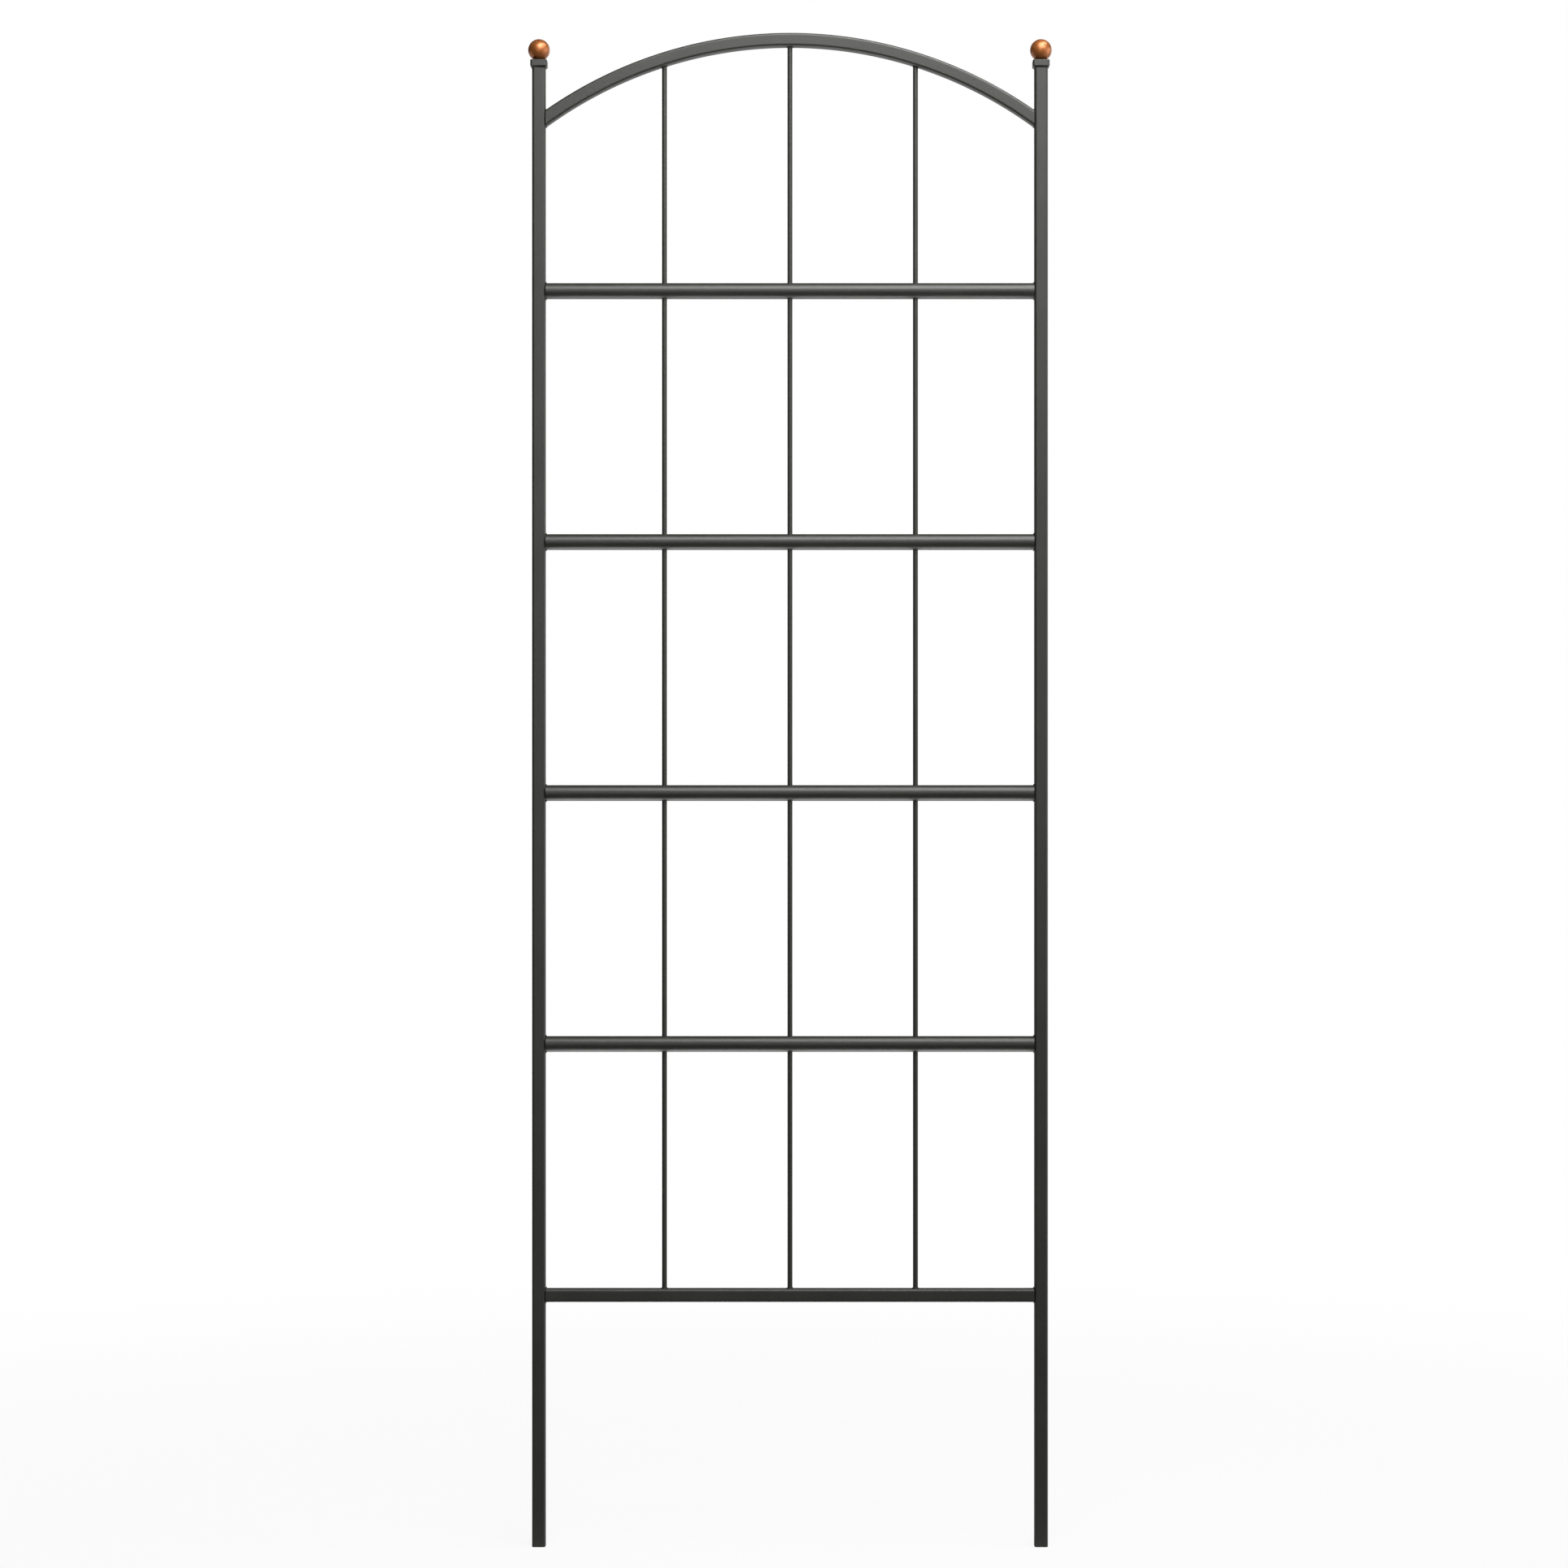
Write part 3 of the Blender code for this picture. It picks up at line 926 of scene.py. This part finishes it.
    def at_rods(self, rods: Rods) -> None:
        """Make a ring at the foot and the top of every rod.

        Args:
            rods: The rods.
        """
        radius = rods.radius() + self.clearance
        for name, across in zip(rods.names, rods.places()):
            foot = Extent(f"{name}_foot_weld").low.z
            angles = [math.tau * step / self.ring_steps for step in range(self.ring_steps)]
            ring = [(across + radius * math.cos(angle), radius * math.sin(angle)) for angle in angles]
            foot_ring = [Vector((x, y, foot)) for x, y in ring]
            top_ring = [Vector((x, y, rods.seat.height(x) - self.clearance)) for x, y in ring]
            outward_up, outward_down = (self._sector(Side.LEFT, level) for level in Level)
            self._bead(f"{name}_foot_weld", foot_ring, self.ring_leg, outward_up, ring=True)
            self._bead(f"{name}_top_weld", top_ring, self.ring_leg, outward_down, ring=True)


@dataclass
class Finial(SubAssembly):
    """One post's square cap, the copper ball on it and the stud between them."""

    side: Side
    post_wall: float
    cap_corner: float = 0.0024
    cap_edge: float = 0.0007
    cap_slope: float = 0.0018
    slope_edge: float = 0.0003
    corner_steps: int = 8
    edge_steps: int = 4
    plug_corner: float = 0.0008
    clearance: float = 0.0003
    ball_sides: int = 96
    ball_rings: int = 56
    hole_sides: int = 32
    hole_reach: float = 3.0
    hole_chamfer: float = 0.0004
    drill_slope: float = math.radians(30)
    tolerance: float = 0.00001
    merge_distance: float = 0.000001

    def _boxes(self, *names: str) -> list[Extent]:
        """The boxes of this side's nodes."""
        return [Extent(f"{self.side.label}_{name}") for name in names]

    @staticmethod
    def _bevel(block: BMesh, edges: list[bmesh.types.BMEdge], width: float, steps: int) -> None:
        """Round some of a block's edges."""
        bmesh.ops.bevel(block, geom=edges, offset=width, segments=steps, profile=0.5, affect="EDGES")

    def _block(self, size: Vector, corner: float) -> BMesh:
        """A block with its four upright edges rounded.

        Args:
            size: Lengths of its edges.
            corner: Radius of the upright edges.

        Returns:
            The block, round the origin.
        """
        block = bmesh.new()
        bmesh.ops.create_cube(block, size=1.0)
        bmesh.ops.scale(block, vec=size, verts=block.verts)
        upright = [e for e in block.edges if abs(e.verts[0].co.z - e.verts[1].co.z) > size.z / 2]
        self._bevel(block, upright, corner, self.corner_steps)
        return block

    def _ease(self, block: BMesh, height: float, width: float, steps: int) -> None:
        """Round a block's edges that lie level at one height."""
        level = [e for e in block.edges if all(abs(v.co.z - height) < self.tolerance for v in e.verts)]
        self._bevel(block, level, width, steps)

    def cap(self) -> None:
        """Make the square cap with its plug, dish and stud hole."""
        box, post, ball, stud = self._boxes("post_cap", "post", "finial_ball", "finial_stud")

        def on_axis(z: float) -> Vector:
            """The point at that height on the post's axis."""
            return Vector((post.centre.x, post.centre.y, z))

        foot = post.high.z + self.clearance
        height = box.high.z - foot
        head = self._block(Vector((box.size.x, box.size.y, height)), self.cap_corner)
        self._ease(head, -height / 2, self.cap_slope, 1)
        self._ease(head, self.cap_slope - height / 2, self.slope_edge, self.edge_steps)
        self._ease(head, height / 2, self.cap_edge, self.edge_steps)
        piece = draft(f"{self.side.label}_square_cap", head, on_axis(foot + height / 2))

        plug_side = post.size.x - 2 * (self.post_wall + self.clearance)
        plug_height = foot - box.low.z + height / 2
        block = self._block(Vector((plug_side, plug_side, plug_height)), self.plug_corner)
        plug = draft("plug", block, on_axis(box.low.z + plug_height / 2))

        radius = ball.size.x / 2
        globe = bmesh.new()
        bmesh.ops.create_uvsphere(
            globe, u_segments=self.ball_sides, v_segments=self.ball_rings,
            radius=radius + self.clearance,
        )
        dish = draft("dish", globe, on_axis(ball.high.z - radius))

        hole_radius = stud.size.x / 2 + self.clearance
        pin = bmesh.new()
        bmesh.ops.create_cone(
            pin, cap_ends=True, segments=self.hole_sides, radius1=hole_radius, radius2=hole_radius,
            depth=box.size.z * self.hole_reach,
        )
        hole = draft("hole", pin, on_axis(box.centre.z))
        for tool in (plug, dish, hole):
            boolean = piece.modifiers.new(tool.name, "BOOLEAN")
            boolean.operation = "UNION" if tool is plug else "DIFFERENCE"
            boolean.solver = "EXACT"
            boolean.object = tool
        self.complete(piece, f"{self.side.label}_post_cap")
        for tool in (plug, dish, hole):
            bpy.data.objects.remove(tool)

    def ball(self) -> None:
        """Make the turned ball with the blind hole for its stud."""
        box, stud = self._boxes("finial_ball", "finial_stud")
        radius = box.size.x / 2
        centre_z = box.high.z - radius
        hole = stud.size.x / 2 + self.clearance
        depth = stud.high.z + self.clearance - centre_z
        mouth_angle = math.asin((hole + self.hole_chamfer) / radius)
        arc = [(math.pi - mouth_angle) * ring / self.ball_rings for ring in range(self.ball_rings + 1)]
        outline = [(radius * math.sin(angle), radius * math.cos(angle)) for angle in arc]
        outline += [
            (hole, self.hole_chamfer - radius * math.cos(mouth_angle)), (hole, depth),
            (0.0, depth + hole * math.tan(self.drill_slope)),
        ]
        turned = bmesh.new()
        verts = [turned.verts.new((x, 0.0, z)) for x, z in outline]
        edges = [turned.edges.new(pair) for pair in zip(verts, verts[1:])]
        bmesh.ops.spin(
            turned, geom=verts + edges, cent=ORIGIN, axis=(0.0, 0.0, 1.0), dvec=ORIGIN, angle=math.tau,
            steps=self.ball_sides, use_merge=True,
        )
        bmesh.ops.remove_doubles(turned, verts=turned.verts, dist=self.merge_distance)
        bmesh.ops.recalc_face_normals(turned, faces=turned.faces)
        place = (stud.centre.x, stud.centre.y, centre_z)
        piece = draft(f"{self.side.label}_copper_ball", turned, place)
        self.complete(piece, f"{self.side.label}_finial_ball", Slot.COPPER)

    def stud(self) -> None:
        """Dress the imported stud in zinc."""
        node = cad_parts[f"{self.side.label}_finial_stud"]
        node.data.materials.clear()
        node.data.materials.append(self.finishes[Slot.ZINC])
        LOG.info("%s: the packed node, in zinc", node.name)


@dataclass(frozen=True)
class Lamp:
    """A soft area lamp that faces a point of the trellis; its spread is in degrees."""

    name: str
    place: Triple
    aim: Triple
    size: Span
    power: float
    spread: float = 180.0

    def build(self) -> None:
        """Link the lamp to the scene."""
        light = bpy.data.lights.new(self.name, "AREA")
        light.shape = "RECTANGLE"
        light.size, light.size_y = self.size
        light.energy = self.power
        light.spread = math.radians(self.spread)
        lamp = bpy.data.objects.new(self.name, light)
        lamp.location = self.place
        lamp.visible_camera = False
        direction = Vector(self.aim) - Vector(self.place)
        lamp.rotation_euler = direction.to_track_quat("-Z", "Y").to_euler()
        bpy.context.scene.collection.objects.link(lamp)


@dataclass
class Studio:
    """The pale floor, the soft lamps, the white surroundings and the camera."""

    image_size: float = 1932.0
    pixels_per_metre: float = 1030.67
    centre_x_pixel: float = 973.35
    distance: float = 4.4
    eye_height: float = 0.9108
    sensor: float = 36.0
    floor_size: float = 40.0
    floor_drop: float = 0.0003
    floor_grey: float = 0.28
    floor_pale: float = 0.95
    floor_white: float = 0.9
    floor_gloss: float = 0.7
    shadow_reach: Span = (0.6, 2.6)
    floor_front: Span = (-0.2, 0.15)
    floor_right: Span = (0.6, 1.4)
    backdrop_edge: Span = (0.45, 0.85)
    backdrop_right: Span = (-0.1, 0.5)
    backdrop_top: Span = (0.2, 0.5)
    behind_slant: float = 0.6
    right_slant: float = 0.5
    sky_rise: Span = (-0.3, 0.9)
    sky_low: float = 0.03
    sky_high: float = 0.1
    lamps: tuple[Lamp, ...] = (
        Lamp("main_softbox", (0.45, -1.35, 2.7), (0.15, 0.0, 1.4), (2.0, 1.2), 15.4, 90.0),
        Lamp("overhead_strip", (0.6, -0.55, 3.2), (0.15, 0.0, 1.5), (2.0, 0.4), 26.0),
        Lamp("right_strip", (3.2, -0.3, 1.35), (0.0, 0.0, 1.0), (1.2, 2.4), 19.0),
        Lamp("front_fill", (-0.4, -4.8, 1.6), (-0.2, 0.0, 1.3), (2.6, 2.4), 27.0),
        Lamp("floor_card", (0.0, 0.38, 0.04), (0.0, 0.37, 1.1), (2.4, 0.7), 7.5, 90.0),
    )

    def build(self) -> None:
        """Build everything that isn't the trellis."""
        bpy.context.scene.view_settings.view_transform = "Standard"
        self._camera()
        self._surroundings()
        self._floor()
        for lamp in self.lamps:
            lamp.build()
            LOG.info("lamp %s", lamp.name)

    def _camera(self) -> None:
        """A level camera at the photograph's eye height and scale."""
        data = bpy.data.cameras.new("photo_view")
        data.sensor_fit = "HORIZONTAL"
        data.sensor_width = self.sensor
        data.lens = self.pixels_per_metre * self.distance / self.image_size * self.sensor
        data.shift_x = (self.image_size / 2 - self.centre_x_pixel) / self.image_size
        camera = bpy.data.objects.new("photo_view", data)
        camera.location = (0.0, -self.distance, self.eye_height)
        camera.rotation_euler = (math.pi / 2, 0.0, 0.0)
        bpy.context.scene.collection.objects.link(camera)
        bpy.context.scene.camera = camera

    @staticmethod
    def _seen(graph: Graph, reflected: Operand) -> Signal:
        """Where a white background shows.

        Args:
            graph: The tree that asks.
            reflected: How much of it glossy and transmission rays see.

        Returns:
            1 for camera rays, that share for those two, else 0.
        """
        rays = graph.add("ShaderNodeLightPath")
        shiny = rays["Is Glossy Ray"].largest(rays["Is Transmission Ray"])
        return rays["Is Camera Ray"].largest(shiny * reflected)

    def _surroundings(self) -> None:
        """A white backdrop to look at, and a soft dim sky that lights the trellis."""
        world = bpy.data.worlds.new("studio")
        world.use_nodes = True
        graph = Graph(world.node_tree)
        graph.tree.nodes.clear()
        across, ahead, height = graph.split(graph.add("ShaderNodeTexCoord")["Generated"])
        level = height.ramp(*self.sky_rise) * (self.sky_high - self.sky_low) + self.sky_low
        sky = graph.add("ShaderNodeBackground", {"Color": WHITE, "Strength": level})
        white = graph.add("ShaderNodeBackground", {"Color": WHITE, "Strength": 1.0})
        behind = (across * self.behind_slant + ahead).ramp(*self.backdrop_edge)
        right = (across + ahead * self.right_slant).ramp(*self.backdrop_right)
        low = 1.0 - height.ramp(*self.backdrop_top)
        share = self._seen(graph, behind.largest(right) * low)
        mixed = graph.add("ShaderNodeMixShader", {0: share, 1: sky, 2: white})
        graph.add("ShaderNodeOutputWorld", {"Surface": mixed})
        bpy.context.scene.world = world

    def _floor(self) -> None:
        """A pale floor that keeps the trellis's shadow."""
        slab = bmesh.new()
        bmesh.ops.create_grid(slab, x_segments=1, y_segments=1, size=self.floor_size / 2)
        floor = draft("floor", slab, (0.0, 0.0, -self.floor_drop))
        graph = MaterialGraph("pale_floor")
        tint = graph.blend(self._seen(graph, 0.0), (self.floor_grey,) * 3, (self.floor_pale,) * 3)
        pale = graph.add("ShaderNodeBsdfDiffuse", {"Color": tint})
        white = graph.add("ShaderNodeEmission", {"Color": WHITE, "Strength": 1.0})
        away = graph.add("ShaderNodeVectorMath", {0: graph.place}, operation="LENGTH")["Value"]
        far = away.ramp(*self.shadow_reach)
        across, ahead, _ = graph.split(graph.place)
        right = (across + ahead * self.right_slant).ramp(*self.floor_right)
        mirrored = ahead.ramp(*self.floor_front).largest(right) * self.floor_gloss
        share = self._seen(graph, mirrored) * (far * (1.0 - self.floor_white) + self.floor_white)
        mixed = graph.add("ShaderNodeMixShader", {0: share, 1: pale, 2: white})
        graph.add("ShaderNodeOutputMaterial", {"Surface": mixed})
        floor.data.materials.append(graph.material)


def main() -> None:
    """Build the trellis's pieces in order, then the studio."""
    logging.basicConfig(level=logging.INFO, format="%(name)s: %(message)s")
    looks = {Slot.PAINT: PowderCoat(), Slot.COPPER: CopperPlate(), Slot.ZINC: ZincPlate()}
    finishes = {slot: look.material() for slot, look in looks.items()}
    tubing = SquareTubing(finishes)
    for side in Side:
        tubing.post(side)
    tubing.rail()
    tubing.arch()
    rods = Rods(finishes, tubing.arch_circles()[1])
    rods.build()
    cross_tubes = CrossTubes(finishes, rods)
    cross_tubes.build()
    beads = WeldBeads(finishes)
    beads.at_cross_tubes(cross_tubes.names)
    beads.at_square_ends("bottom_rail", dict.fromkeys(Level, 0.0))
    beads.at_square_ends("arch", tubing.arch_slopes())
    beads.at_rods(rods)
    for side in Side:
        finial = Finial(finishes, side, tubing.wall)
        finial.cap()
        finial.ball()
        finial.stud()
    Studio().build()


if __name__ == "__main__":
    main()
